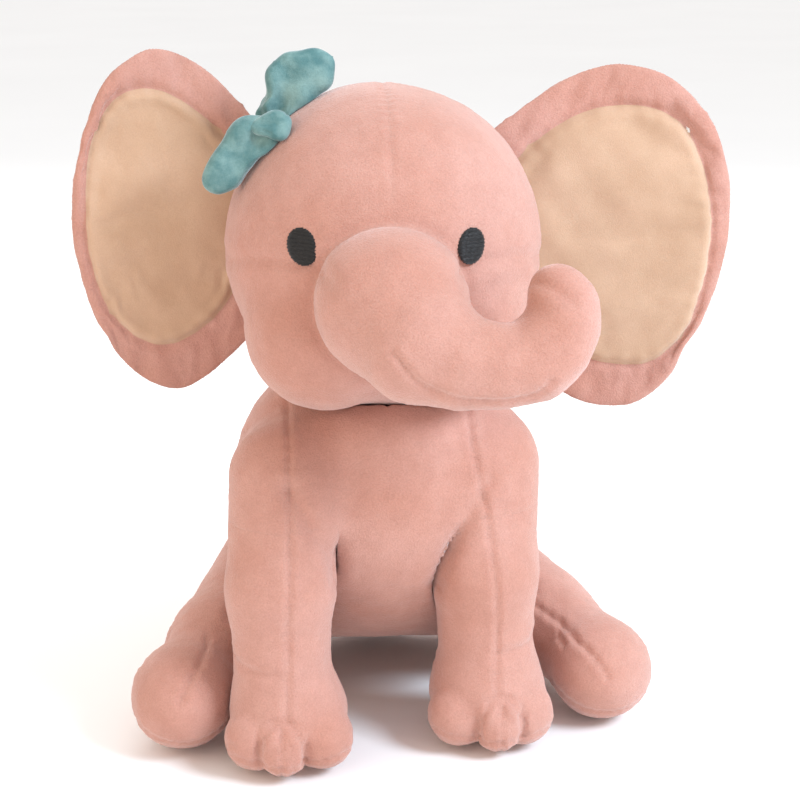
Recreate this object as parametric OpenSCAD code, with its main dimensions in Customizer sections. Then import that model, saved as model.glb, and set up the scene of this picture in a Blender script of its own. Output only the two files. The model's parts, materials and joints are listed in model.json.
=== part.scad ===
// Seated stuffed elephant: plush skins over fibre stuffing, with a pouch of
// pellets in the seat. It faces -Y, +Z is up, and it stands on z = 0.

/* [Head] */
// Radius of the stuffed head
head_r = 57; // [48:1:66]
// Height of the head's centre above the ground
head_z = 184; // [176:1:200]

/* [Body] */
// Radius of the chest
chest_r = 44; // [38:1:50]
// Radius of the rump
rump_r = 52; // [44:1:60]
// Height of the chest's centre above the ground
chest_z = 96; // [88:1:104]
// How far the chest sits behind the body's middle
chest_set_back = 8; // [4:1:12]
// How far the rump sits behind the body's middle
rump_back = 50; // [42:1:60]
// Half the width of the chest panel between the front legs
chest_panel_half = 15; // [8:1:15]
// Thickness of the plush skin with its pile
skin = 2; // [1.2:0.2:2.4]
// Gap between pieces that move against each other
clearance = 0.6; // [0.4:0.1:1]

/* [Front legs] */
// Radius of a front leg
front_leg_r = 18.5; // [15:0.5:20]
// Radius of a front paw
paw_r = 21.5; // [19:0.5:22]
// Distance of a front leg from the middle of the body
front_leg_x = 37.5; // [37:0.5:44]
// Height of the shoulder that a front leg swings about
shoulder_z = 80; // [70:1:88]
// How far the left front leg stands behind the right one
left_front_back = 15; // [0:1:18]

/* [Rear legs] */
// Radius of a thigh
thigh_r = 29; // [24:1:31]
// Radius of a rear foot
foot_r = 19.5; // [16:0.5:22]
// How far a rear foot reaches out from its hip
foot_out = 27; // [24:1:34]
// How far a rear foot reaches forward from its hip
foot_ahead = 64; // [54:1:66]
// How far the left rear leg sits behind the right one
left_rear_back = 21; // [8:1:24]

/* [Trunk] */
// Radius of the trunk at its root
trunk_root_r = 25.5; // [21:0.5:28]
// Radius of the trunk where it turns up
trunk_bend_r = 15; // [12:0.5:18]
// Radius of the trunk's tip
trunk_tip_r = 11; // [9:0.5:13]

/* [Ears] */
// Half the width of an ear
ear_half_w = 39; // [33:1:44]
// Half the height of an ear
ear_half_h = 61; // [52:1:68]
// Thickness of a padded ear
ear_thick = 10; // [8:1:12]
// Furthest that an ear folds forward, in degrees
ear_forward = 15; // [5:1:20]
// Furthest that an ear folds back, in degrees
ear_backward = 25; // [10:1:30]

/* [Tail] */
// Length of the tail
tail_len = 28; // [20:1:36]
// Radius of the tail
tail_r = 4.5; // [3.5:0.5:6]

/* [Hidden] */

plush = "pink";
plush_inner = "mistyrose";
lining = "tan";
fibre = "ivory";
velvet = "lightblue";
thread = "black";
pellet = "gainsboro";

left = 1;
right = -1;
far = 400;
arc_steps = 8;
round_fn = 64;

// Centres of the big round forms; body_y centres the whole footprint on y = 0
body_y = -6;
head = [0, body_y - 6, head_z];
chest = [0, body_y + chest_set_back, chest_z];
rump = [0, body_y + rump_back, rump_r - 6];

// The chin panel is the low front of the head, under the trunk
chin_half = 30;
chin_top = head_z - 30;

// The neck plug joins the torso to the head
neck_r = 20;
neck_bottom = head_z - head_r - 19;

// Pellet pouch in the seat
pouch_r = 15;
pouch_skin = 0.8;
pouch = rump + [0, 18, 24 - rump.z];

// Front legs
front_leg_y = body_y - 38;
paw_round = 12;
ankle_z = 33;
ankle_pinch = 1;

// Rear legs
hip_x = 48;
thigh_lift = 1;
hip_y = body_y + 50;

// The trunk's three sections meet at these points
trunk_root = head + [0, -59, -17];
trunk_bend = trunk_root + [43, -22, -5];
trunk_end = trunk_bend + [11, 10, 20];
trunk_start_r = trunk_root_r - 5.5;
trunk_tip_start_r = trunk_tip_r + 0.6;
trunk_tip_base = trunk_bend_r + 2;
trunk_tip_cone = 3.4;

// Ears
ear_y = body_y + 14;
ear_x = 82;
ear_z = 188;
ear_hinge_x = 50;
ear_fullness = 0.1;
ear_steps = 48;
rim_side = 7;
rim_end = 15;
ear_angle_step = 8;

// Eyes, as leaning ovals
eye_x = 29;
eye_up = 8;
eye_half_w = 5.2;
eye_half_h = 6.8;
eye_lean = 8;
eye_proud = 1;

// Bow
bow_knot_at = head + [-43, 0, 45];
bow_knot_r = 7;
bow_upper_tip = bow_knot_at + [16, 2, 13];
bow_lower_tip = bow_knot_at + [-14, -8, -17];
bow_loop_r = 9;
bow_loop_root_r = 5;

// Tail
tail_root = rump + [0, rump_r + 2.5, -2];
tail_end = tail_root + [0, 4.5, -tail_len];

function arc(x, y, r, a0, a1) = [
    for (i = [0:arc_steps])
        let (a = a0 + (a1 - a0) * i / arc_steps)
        [x + r * cos(a), y + r * sin(a)]
];

// Half outline of two balls joined by a tapering skin
function capsule_outline(length, r1, r2) =
    let (lean = asin((r1 - r2) / length))
    concat(arc(0, 0, r1, -90, lean), arc(0, length, r2, lean, 90));

// Half outline of a front leg, drawn in by inset
function leg_outline(inset) = concat(
    [[0, inset]],
    arc(paw_r - paw_round, paw_round, paw_round - inset, -90, 60),
    [[front_leg_r - ankle_pinch - inset, ankle_z]],
    arc(0, shoulder_z, front_leg_r - inset, 0, 90)
);

// An oval that is fuller at the top, with half sizes w and h
function ear_outline(w, h) = [
    for (i = [0:ear_steps - 1])
        let (t = 360 * i / ear_steps)
        [w * cos(t) * (1 + ear_fullness * sin(t)), h * sin(t)]
];

// Places children at start, with their +Z pointing at finish
module along(start, finish) {
    v = finish - start;
    translate(start)
        rotate([0, acos(v.z / norm(v)), atan2(v.y, v.x)])
        children();
}

module capsule(start, finish, r1, r2) {
    along(start, finish)
        rotate_extrude($fn = round_fn)
        polygon(capsule_outline(norm(finish - start), r1, r2));
}

// A capsule hollowed at its start to sit over a ball of radius socket_r
module socketed_capsule(start, finish, r1, r2, socket_r) {
    along(start, finish)
        difference() {
            rotate_extrude($fn = round_fn)
                polygon(capsule_outline(norm(finish - start), r1, r2));
            sphere(socket_r, $fn = round_fn);
        }
}

module ball(centre, r) {
    translate(centre)
        sphere(r, $fn = round_fn);
}

// A ball with its poles on the line from the head to the trunk's root
module aimed_ball(centre, r) {
    v = trunk_root - head;
    translate(centre)
        rotate([acos(v.z / norm(v)), 0, 0])
        sphere(r, $fn = round_fn);
}

// Everything above height z
module above(z) {
    translate([-far / 2, -far / 2, z])
        cube(far);
}

// Everything on one side of the middle plane
module half(side) {
    translate([side > 0 ? 0 : -far, -far / 2, -far / 2])
        cube(far);
}

/* Front legs */

function front_leg_at(side) = [
    side * front_leg_x,
    front_leg_y + (side > 0 ? left_front_back : 0),
    0
];

module front_leg_form(side, inset) {
    translate(front_leg_at(side))
        rotate_extrude($fn = round_fn)
        polygon(leg_outline(inset));
}

module front_leg_cover(side) {
    color(plush)
        intersection() {
            difference() {
                front_leg_form(side, 0);
                front_leg_form(side, skin);
            }
            above(skin);
        }
}

module front_sole(side) {
    color(plush_inner)
        difference() {
            front_leg_form(side, 0);
            above(skin);
        }
}

module front_leg_stuffing(side) {
    color(fibre)
        front_leg_form(side, skin + 0.1);
}

/* Rear legs */

function hip_at(side) = [
    side * hip_x,
    hip_y + (side > 0 ? left_rear_back : 0),
    thigh_r + thigh_lift
];

function foot_at(side) = [
    side * (hip_x + foot_out),
    hip_at(side).y - foot_ahead,
    foot_r - 0.5
];

// Everything on a rear leg is drawn for the right one; the left one is its
// mirror, set further back
module rear_leg_place(side) {
    if (side == left)
        translate([0, left_rear_back, 0])
            mirror([1, 0, 0])
            children();
    else
        children();
}

module rear_leg_form(inset) {
    intersection() {
        capsule(hip_at(right), foot_at(right), thigh_r - inset, foot_r - inset);
        above(inset);
    }
}

// The sole is the rounded front of the foot, past a plane square to the leg
module sole_region() {
    along(hip_at(right), foot_at(right))
        translate([-far / 2, -far / 2, norm(foot_at(right) - hip_at(right)) + foot_r / 2])
        cube(far);
}

module rear_leg_cover(side) {
    color(plush)
        rear_leg_place(side)
        difference() {
            rear_leg_form(0);
            rear_leg_form(skin);
            sole_region();
        }
}

module rear_sole(side) {
    color(plush_inner)
        rear_leg_place(side)
        intersection() {
            difference() {
                rear_leg_form(0);
                rear_leg_form(skin);
            }
            sole_region();
        }
}

module rear_leg_stuffing(side) {
    color(fibre)
        rear_leg_place(side)
        rear_leg_form(skin + 0.1);
}

/* Tail */

module tail_form(inset) {
    capsule(tail_root, tail_end, tail_r - inset, tail_r - inset);
}

module tail_cover() {
    color(plush)
        difference() {
            tail_form(0);
            tail_form(skin);
        }
}

module tail_stuffing() {
    color(fibre)
        tail_form(skin + 0.1);
}

/* Body */

module body_form(inset) {
    capsule(rump, chest, rump_r - inset, chest_r - inset);
}

module neck_plug(grow) {
    translate([head.x, head.y, neck_bottom - grow])
        cylinder(h = far, r = neck_r + grow, $fn = round_fn);
}

// The way that a front leg swings forward
module front_leg_path(side) {
    half_w = front_leg_r + clearance;
    translate([front_leg_at(side).x - half_w, front_leg_at(side).y - far, 0])
        cube([2 * half_w, far, shoulder_z]);
}

// The space that the head, limbs and tail need, taken out of the body
module body_rooms() {
    ball(head, head_r + clearance);
    neck_plug(clearance);
    for (side = [left, right]) {
        front_leg_form(side, -clearance);
        front_leg_path(side);
        capsule(hip_at(side), foot_at(side), thigh_r + clearance, foot_r + clearance);
    }
    ball(tail_root, 2 * tail_r + clearance);
}

module body_shell() {
    difference() {
        body_form(0);
        body_form(skin);
        body_rooms();
    }
}

// The strip between the front legs, ahead of the body's middle
module chest_region() {
    translate([-chest_panel_half, -far, 0])
        cube([2 * chest_panel_half, far, far]);
}

seat_top = 12;

module body_panel(side) {
    color(plush)
        difference() {
            intersection() {
                body_shell();
                half(side);
                above(seat_top);
            }
            chest_region();
        }
}

module chest_panel() {
    color(plush_inner)
        intersection() {
            body_shell();
            chest_region();
            above(seat_top);
        }
}

// The bottom of the body, with the flat face that it sits on
module seat_panel() {
    color(plush)
        difference() {
            intersection() {
                body_form(0);
                above(0);
            }
            intersection() {
                body_form(skin);
                above(skin);
            }
            above(seat_top);
            body_rooms();
        }
}

module body_stuffing() {
    color(fibre)
        difference() {
            intersection() {
                body_form(skin + 0.1);
                above(skin + 0.1);
            }
            body_rooms();
            ball(pouch, pouch_r + 0.1);
        }
}

module pellet_pouch() {
    color(lining)
        difference() {
            ball(pouch, pouch_r);
            ball(pouch, pouch_r - pouch_skin);
        }
}

module pouch_pellets() {
    color(pellet)
        ball(pouch, pouch_r - pouch_skin - 0.1);
}

module neck_wadding() {
    color(fibre)
        difference() {
            neck_plug(0);
            ball(head, head_r + clearance);
            above(head_z - head_r / 2);
        }
}

/* Head */

module head_shell() {
    difference() {
        aimed_ball(head, head_r);
        aimed_ball(head, head_r - skin);
        aimed_ball(trunk_root, trunk_root_r);
    }
}

module chin_region() {
    translate([-chin_half, -far, chin_top - far])
        cube([2 * chin_half, far + head.y, far]);
}

// The two side panels of the head are mirror images
module head_panel(side) {
    color(plush)
        mirror([side > 0 ? 0 : 1, 0, 0])
        difference() {
            intersection() {
                head_shell();
                half(left);
            }
            chin_region();
        }
}

module chin_panel() {
    color(plush)
        intersection() {
            head_shell();
            chin_region();
        }
}

// Half outline of the head's filling, dished where the trunk's root sits
function head_filling_outline(r) =
    let (
        d = norm(trunk_root - head),
        at_head = acos((d * d + r * r - trunk_root_r * trunk_root_r) / (2 * d * r)),
        at_root = acos((d * d + trunk_root_r * trunk_root_r - r * r) / (2 * d * trunk_root_r))
    )
    concat(
        arc(0, 0, r, -90, -30),
        arc(0, 0, r, -30, 30),
        arc(0, 0, r, 30, 90 - at_head),
        arc(0, d, trunk_root_r, at_root - 90, -90)
    );

module head_stuffing() {
    color(fibre)
        along(head, trunk_root)
        rotate_extrude($fn = round_fn)
        polygon(head_filling_outline(head_r - skin - 0.1));
}

module eye(side) {
    oval = [
        for (t = [0:15:345])
            [eye_half_w * cos(t), eye_half_h * sin(t)]
    ];
    color(thread)
        intersection() {
            difference() {
                ball(head, head_r + eye_proud);
                ball(head, head_r + 0.05);
            }
            translate([side * eye_x, head.y, head_z + eye_up])
                rotate([90, -side * eye_lean, 0])
                linear_extrude(far)
                polygon(oval);
        }
}

/* Bow */

module bow_loop(tip) {
    color(velvet)
        difference() {
            capsule(bow_knot_at, tip, bow_loop_root_r, bow_loop_r);
            ball(head, head_r + 0.05);
            ball(bow_knot_at, bow_knot_r + 0.05);
        }
}

// The knot's ball and the head's share one axis, so they meet in a circle
module bow_knot() {
    color(velvet)
        along(head, bow_knot_at)
        difference() {
            translate([0, 0, norm(bow_knot_at - head)])
                sphere(bow_knot_r, $fn = round_fn);
            sphere(head_r + 0.05, $fn = round_fn);
        }
}

/* Trunk */

module trunk_root_cover() {
    color(plush)
        difference() {
            aimed_ball(trunk_root, trunk_root_r);
            aimed_ball(trunk_root, trunk_root_r - skin);
            aimed_ball(head, head_r);
        }
}

module trunk_root_stuffing() {
    color(fibre)
        difference() {
            aimed_ball(trunk_root, trunk_root_r - skin - 0.1);
            aimed_ball(head, head_r);
        }
}

module trunk_form(inset) {
    socketed_capsule(
        trunk_root, trunk_bend,
        trunk_start_r - inset, trunk_bend_r - inset,
        trunk_root_r + clearance + inset
    );
}

module trunk_cover() {
    color(plush)
        difference() {
            trunk_form(0);
            trunk_form(skin);
        }
}

module trunk_stuffing() {
    color(fibre)
        trunk_form(skin + 0.1);
}

// Half outline of the tip, with a coned base that clears the trunk as it curls
function trunk_tip_outline(inset) =
    let (length = norm(trunk_end - trunk_bend))
    concat(
        [[0, trunk_tip_base + inset]],
        [[trunk_tip_start_r - inset, trunk_tip_base + trunk_tip_cone + inset]],
        arc(0, length, trunk_tip_r - inset, 0, 90)
    );

module trunk_tip_form(inset) {
    along(trunk_bend, trunk_end)
        rotate_extrude($fn = round_fn)
        polygon(trunk_tip_outline(inset));
}

module trunk_tip_cover() {
    color(plush)
        difference() {
            trunk_tip_form(0);
            trunk_tip_form(skin);
        }
}

module trunk_tip_stuffing() {
    color(fibre)
        trunk_tip_form(skin + 0.1);
}

/* Ears */

// The space that the head takes while the ear folds forward and back
module ear_room(side) {
    for (a = [-ear_forward : ear_angle_step : ear_backward])
        translate([side * ear_hinge_x, ear_y, 0])
        rotate([0, 0, -side * a])
        translate([-side * ear_hinge_x, -ear_y, 0])
        ball(head, head_r + clearance + skin);
}

// A slice of the ear between two depths, counted from its front face
module ear_slice(side, w, h, front, back) {
    translate([side * ear_x, ear_y - ear_thick / 2 + back, ear_z])
        rotate([90, 0, 0])
        linear_extrude(back - front)
        polygon(ear_outline(w, h));
}

module ear_back(side) {
    color(plush)
        difference() {
            ear_slice(side, ear_half_w, ear_half_h, ear_thick - skin, ear_thick);
            ear_room(side);
        }
}

module ear_rim(side) {
    color(plush)
        difference() {
            ear_slice(side, ear_half_w, ear_half_h, 0, skin);
            ear_slice(side, ear_half_w - rim_side, ear_half_h - rim_end, -1, skin + 1);
            ear_room(side);
        }
}

module ear_lining(side) {
    color(lining)
        difference() {
            ear_slice(side, ear_half_w - rim_side, ear_half_h - rim_end, 0, skin);
            ear_room(side);
        }
}

module ear_wadding(side) {
    color(fibre)
        difference() {
            ear_slice(side, ear_half_w - skin, ear_half_h - skin, skin, ear_thick - skin);
            ear_room(side);
        }
}

body_panel(left);  // body_panel_left
body_panel(right);  // body_panel_right
chest_panel();
seat_panel();
body_stuffing();
pellet_pouch();
pouch_pellets();
neck_wadding();
head_panel(left);  // head_panel_left
head_panel(right);  // head_panel_right
chin_panel();
head_stuffing();
eye(left);  // eye_left
eye(right);  // eye_right
bow_loop(bow_upper_tip);  // bow_loop_upper
bow_loop(bow_lower_tip);  // bow_loop_lower
bow_knot();
trunk_root_cover();
trunk_root_stuffing();
trunk_cover();
trunk_stuffing();
trunk_tip_cover();
trunk_tip_stuffing();
ear_back(left);  // ear_back_left
ear_rim(left);  // ear_rim_left
ear_lining(left);  // ear_lining_left
ear_wadding(left);  // ear_wadding_left
ear_back(right);  // ear_back_right
ear_rim(right);  // ear_rim_right
ear_lining(right);  // ear_lining_right
ear_wadding(right);  // ear_wadding_right
front_leg_cover(left);  // front_leg_cover_left
front_sole(left);  // front_sole_left
front_leg_stuffing(left);  // front_leg_stuffing_left
front_leg_cover(right);  // front_leg_cover_right
front_sole(right);  // front_sole_right
front_leg_stuffing(right);  // front_leg_stuffing_right
rear_leg_cover(left);  // rear_leg_cover_left
rear_sole(left);  // rear_sole_left
rear_leg_stuffing(left);  // rear_leg_stuffing_left
rear_leg_cover(right);  // rear_leg_cover_right
rear_sole(right);  // rear_sole_right
rear_leg_stuffing(right);  // rear_leg_stuffing_right
tail_cover();
tail_stuffing();
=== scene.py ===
"""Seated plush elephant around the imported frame.

Forms are written in millimetres as distance fields, and become metres when a
mesh is made. The toy faces -Y, +Z is up, and its left is +X."""
import json
import math

import bpy
import numpy as np
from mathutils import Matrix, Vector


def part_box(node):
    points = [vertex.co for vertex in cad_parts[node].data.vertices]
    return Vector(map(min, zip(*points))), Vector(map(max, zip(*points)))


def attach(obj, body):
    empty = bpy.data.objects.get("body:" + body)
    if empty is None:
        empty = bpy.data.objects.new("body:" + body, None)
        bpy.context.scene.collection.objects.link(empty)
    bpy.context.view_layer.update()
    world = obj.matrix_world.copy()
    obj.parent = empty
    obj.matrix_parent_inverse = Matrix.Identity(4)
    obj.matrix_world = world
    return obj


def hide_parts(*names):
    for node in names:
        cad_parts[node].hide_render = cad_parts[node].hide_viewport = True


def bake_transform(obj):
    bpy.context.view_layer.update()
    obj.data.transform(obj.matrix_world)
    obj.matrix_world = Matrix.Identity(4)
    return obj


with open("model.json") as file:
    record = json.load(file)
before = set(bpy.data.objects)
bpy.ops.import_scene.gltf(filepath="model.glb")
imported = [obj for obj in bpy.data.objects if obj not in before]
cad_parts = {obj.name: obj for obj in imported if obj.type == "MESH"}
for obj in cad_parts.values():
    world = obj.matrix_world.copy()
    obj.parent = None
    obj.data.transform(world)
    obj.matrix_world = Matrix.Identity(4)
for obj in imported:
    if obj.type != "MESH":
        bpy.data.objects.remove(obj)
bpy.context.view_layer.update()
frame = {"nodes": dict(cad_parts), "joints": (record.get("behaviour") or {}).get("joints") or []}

MM = 0.001
LEFT = 1
RIGHT = -1
SIDE_NAME = {LEFT: "left", RIGHT: "right"}


def vec(*values):
    return np.array(values, dtype=float)


def joint(name):
    """Place of a joint in millimetres."""
    for j in frame["joints"]:
        if j["name"] == name:
            return np.array(j["pos_m"], dtype=float) / MM
    raise KeyError(name)


def box_mm(node):
    low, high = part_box(node)
    return np.array(low) / MM, np.array(high) / MM


# ---------------------------------------------------------------- places

HEAD = joint("head_nod")
TRUNK_ROOT = joint("trunk_swing")
TRUNK_BEND = joint("trunk_curl")
SHOULDER = {LEFT: joint("front_swing_left"), RIGHT: joint("front_swing_right")}
HIP = {LEFT: joint("rear_splay_left"), RIGHT: joint("rear_splay_right")}
FOOT = {LEFT: HIP[LEFT] + vec(35.0, -79.0, -10.0), RIGHT: HIP[RIGHT] + vec(-26.5, -74.0, -10.0)}
EAR_HINGE = {LEFT: joint("ear_fold_left"), RIGHT: joint("ear_fold_right")}
TAIL = joint("tail_wag")

HEAD_R = 56.0
LEG_R = 18.6
PAW_R = 21.3
THIGH_R = 25.5
FOOT_R = 19.0
GROUND = 0.3

# ---------------------------------------------------------------- fields


def ball(p, centre, r):
    return np.linalg.norm(p - centre, axis=1) - r


def egg(p, centre, radii):
    """Distance to an ellipsoid, near enough close to its surface."""
    q = (p - centre) / radii
    near = np.linalg.norm(q, axis=1)
    slope = np.linalg.norm(q / radii, axis=1)
    return near * (near - 1.0) / np.maximum(slope, 1e-9)


def cone(p, start, end, r_start, r_end):
    """Distance to a limb whose radius runs smoothly from one end to the other."""
    span = end - start
    h = np.clip((p - start) @ span / (span @ span), 0.0, 1.0)
    r = r_start + (r_end - r_start) * h
    return np.linalg.norm(p - start - h[:, None] * span, axis=1) - r


def merge(a, b, k):
    """Union of two fields with a fillet of about k."""
    h = np.maximum(k - np.abs(a - b), 0.0) / k
    return np.minimum(a, b) - h * h * k * 0.25


def keep_above(a, height, k):
    """Cuts field a off where height is negative, with a rounding of about k."""
    return -merge(-a, height, k)


def ramp(x, start, end):
    t = np.clip((x - start) / (end - start), 0.0, 1.0)
    return t * t * (3.0 - 2.0 * t)


def chain(p, points, radii, k=3.0):
    """A tube through points, each with its own radius."""
    d = cone(p, points[0], points[1], radii[0], radii[1])
    for i in range(1, len(points) - 1):
        d = merge(d, cone(p, points[i], points[i + 1], radii[i], radii[i + 1]), k)
    return d


# ---------------------------------------------------------------- forms


def front_leg_field(p, side):
    shoulder = SHOULDER[side]
    x, y = shoulder[0], shoulder[1]
    top = vec(side * 35.5, y + 10.0, 105.0)
    knee = vec(x - 1.2, y + 1.0, 66.0)
    ankle = vec(x - 0.4, y, 34.0)
    d = chain(p, [top, knee, ankle], [20.5, LEG_R - 0.2, LEG_R - 1.2], 6.0)
    paw = vec(side * 37.0 + 0.8, y + 0.5, 19.8)
    d = merge(d, egg(p, paw, vec(PAW_R, 22.0, 20.0)), 6.0)
    for s in (LEFT, RIGHT):
        lobe = paw + vec(11.8, -10.6, -5.8) * vec(s, 1.0, 1.0)
        d = merge(d, egg(p, lobe, vec(11.2, 11.0, 11.8)), 2.0)
    toe = paw + vec(2.2 * side, -17.6, -6.6)
    middle = egg(p, toe, vec(8.8, 8.4, 10.6))
    for s in (LEFT, RIGHT):
        knuckle = toe + vec(4.0 * s, -0.3, 5.0)
        middle = merge(middle, egg(p, knuckle, vec(5.0, 7.2, 6.6)), 0.8)
    return merge(d, middle, 0.7)


def rear_leg_field(p, side):
    hip = HIP[side]
    thigh = hip + vec(-side * 6.0, 3.0, 1.0)
    foot = FOOT[side]
    knee = thigh + (foot - thigh) * 0.58 + vec(0.0, 0.0, 1.5)
    d = cone(p, thigh, knee, THIGH_R, 19.0)
    d = merge(d, cone(p, knee, foot, 18.5, 16.0), 8.0)
    ball_of_foot = egg(p, foot, vec(FOOT_R, FOOT_R + 2.5, FOOT_R - 0.3))
    return merge(d, ball_of_foot, 5.0)


def torso_field(p):
    chest = egg(p, vec(-1.6, -5.0, 103.0), vec(51.4, 38.5, 41.0))
    belly = egg(p, vec(0.0, 4.0, 88.0), vec(46.5, 46.0, 48.0))
    rump = egg(p, vec(0.0, 44.0, 47.0), vec(53.5, 57.0, 51.5))
    waist = cone(p, vec(0.0, 6.0, 92.0), vec(0.0, 42.0, 50.0), 44.0, 51.0)
    neck = egg(p, vec(-2.0, -27.0, 118.0), vec(31.0, 17.5, 15.0))
    d = merge(merge(chest, neck, 6.0), belly, 14.0)
    return merge(d, merge(rump, waist, 18.0), 16.0)


def head_field(p):
    skull = egg(p, HEAD, vec(HEAD_R, HEAD_R + 1.0, HEAD_R + 1.2))
    d = skull
    for side in (LEFT, RIGHT):
        cheek = HEAD + vec(side * 20.0, -20.5, -23.5)
        d = merge(d, egg(p, cheek, vec(29.8, 31.6, 30.0)), 3.0)
    return d


TRUNK_POINTS = [
    TRUNK_ROOT + vec(-1.0, 16.0, 6.0),
    TRUNK_ROOT + vec(-0.5, 1.0, 8.5),
    TRUNK_ROOT + vec(8.0, -13.0, -1.5),
    TRUNK_ROOT + vec(20.5, -19.0, -6.6),
    TRUNK_ROOT + vec(32.0, -21.0, -7.6),
    TRUNK_BEND + vec(0.5, 1.0, -1.0),
    TRUNK_BEND + vec(6.2, 2.0, 4.0),
    TRUNK_BEND + vec(9.8, 4.0, 10.5),
    TRUNK_BEND + vec(10.4, 6.0, 16.5),
    TRUNK_BEND + vec(8.2, 7.0, 20.3),
]
TRUNK_RADII = [24.5, 24.6, 19.6, 14.6, 12.8, 12.2, 12.0, 10.8, 9.7, 8.7]


def trunk_field(p):
    return chain(p, TRUNK_POINTS, TRUNK_RADII, 4.0)


def head_and_trunk_field(p):
    return merge(head_field(p), trunk_field(p), 3.0)


GAP = 0.35


def crotch_height(p):
    """How high the seat arches between the hind legs."""
    rise = np.clip(31.0 - 0.42 * (p[:, 1] + 4.0), 0.0, 40.0)
    return rise * (1.0 - ramp(np.abs(p[:, 0] - 2.0), 24.0, 46.0))


def front_rise(p, side):
    """How far above the height where the front leg has grown into the shoulder."""
    return p[:, 2] - 92.0


def rear_rise(p, side):
    """How far behind the place where the thigh has grown into the rump."""
    return 4.0 - (p - HIP[side]) @ THIGH_WAY[side]


THIGH_WAY = {LEFT: vec(0.42, -0.907, 0.0), RIGHT: vec(-0.42, -0.907, 0.0)}
FILLET = 9.0


def trunk_of_body(p):
    """The torso, arched underneath and hollowed for the head."""
    d = keep_above(torso_field(p), (p[:, 2] - crotch_height(p)) * 0.9, 9.0)
    return np.maximum(d, 0.4 - head_field(p))


def body_field(p):
    """The torso's skin, with a socket for each limb below where it joins."""
    d = trunk_of_body(p)
    limbs = [(rear_leg_field, rear_rise), (front_leg_field, front_rise)]
    for field, rise in limbs:
        for side in (LEFT, RIGHT):
            limb = field(p, side)
            share = ramp(rise(p, side), -13.0, 0.0)
            free = np.maximum(d, GAP - limb)
            d = merge(d, limb, FILLET) * share + free * (1.0 - share)
    d = np.maximum(d, 0.4 - head_field(p))
    return keep_above(d, p[:, 2] - GROUND, 5.0)


def limb_field(p, side, field, rise):
    """A limb's own skin, which grows out to the torso's and tucks under it."""
    limb = field(p, side)
    up = rise(p, side)
    share = ramp(up, -13.0, 2.0)
    grown = merge(trunk_of_body(p), limb, FILLET)
    d = grown * share + limb * (1.0 - share) + 0.6 * ramp(up, -2.0, 5.0)
    return keep_above(d, p[:, 2] - GROUND, 5.0)


def tail_field(p):
    base = TAIL + vec(0.0, -3.0, 1.0)
    tip = TAIL + vec(0.0, 4.5, -26.0)
    d = cone(p, base, tip, 5.2, 3.6)
    return merge(d, egg(p, tip + vec(0.0, 0.5, -1.0), vec(5.6, 5.2, 7.5)), 3.0)


# ---------------------------------------------------------------- surfaces


def surface_net(field, low, high, cell):
    """Vertices and quads where the field crosses zero in the box."""
    counts = np.ceil((high - low) / cell).astype(int) + 1
    axes = [low[i] + cell * np.arange(counts[i]) for i in range(3)]
    grid = np.stack(np.meshgrid(*axes, indexing="ij"), axis=-1)
    flat = grid.reshape(-1, 3)
    values = np.empty(len(flat))
    step = 400000
    for i in range(0, len(flat), step):
        values[i:i + step] = field(flat[i:i + step])
    values = values.reshape(counts)
    inside = values < 0.0

    cells = counts - 1
    total = np.zeros((*cells, 3))
    crossings = np.zeros(cells)
    corners = [(i, j, k) for i in (0, 1) for j in (0, 1) for k in (0, 1)]

    def corner(array, c):
        return array[c[0]:c[0] + cells[0], c[1]:c[1] + cells[1], c[2]:c[2] + cells[2]]

    for a in corners:
        for axis in range(3):
            if a[axis] == 1:
                continue
            b = list(a)
            b[axis] = 1
            va = corner(values, a)
            vb = corner(values, tuple(b))
            cross = (va < 0.0) != (vb < 0.0)
            t = np.where(cross, va / np.where(cross, va - vb, 1.0), 0.0)
            for i in range(3):
                offset = t if i == axis else float(a[i])
                total[..., i] += np.where(cross, offset, 0.0)
            crossings += cross
    active = crossings > 0
    number = -np.ones(cells, dtype=int)
    number[active] = np.arange(active.sum())
    where = np.argwhere(active)
    verts = low + cell * (where + total[active] / crossings[active][:, None])

    quads = []
    for axis in range(3):
        u, v = (axis + 1) % 3, (axis + 2) % 3
        first = [slice(1, -1)] * 3
        first[axis] = slice(0, counts[axis] - 1)
        second = list(first)
        second[axis] = slice(1, counts[axis])
        change = inside[tuple(first)] != inside[tuple(second)]
        starts = np.argwhere(change)
        starts[:, u] += 1
        starts[:, v] += 1
        out = inside[tuple(first)][change]

        def at(du, dv):
            index = starts.copy()
            index[:, u] -= du
            index[:, v] -= dv
            return number[index[:, 0], index[:, 1], index[:, 2]]

        ring = np.stack([at(1, 1), at(0, 1), at(0, 0), at(1, 0)], axis=1)
        ring[~out] = ring[~out][:, ::-1]
        quads.append(ring)
    return verts, np.concatenate(quads)


def gradient(field, p, h=0.25):
    g = np.zeros_like(p)
    for i in range(3):
        e = np.zeros(3)
        e[i] = h
        g[:, i] = field(p + e) - field(p - e)
    return g / np.maximum(np.linalg.norm(g, axis=1), 1e-9)[:, None]


def settle(field, p, steps=3):
    """Moves points onto the surface and returns them with their normals."""
    for _ in range(steps):
        n = gradient(field, p)
        d = np.clip(field(p), -1.5, 1.5)
        p = p - n * d[:, None]
    return p, gradient(field, p, 0.6)


def relax(p, quads, rounds=2):
    """Evens out the spacing of the points."""
    for _ in range(rounds):
        total = np.zeros_like(p)
        count = np.zeros(len(p))
        for a in range(4):
            b = (a + 1) % 4
            np.add.at(total, quads[:, a], p[quads[:, b]])
            np.add.at(total, quads[:, b], p[quads[:, a]])
            np.add.at(count, quads[:, a], 1.0)
            np.add.at(count, quads[:, b], 1.0)
        p = 0.4 * p + 0.6 * total / np.maximum(count, 1.0)[:, None]
    return p


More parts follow.
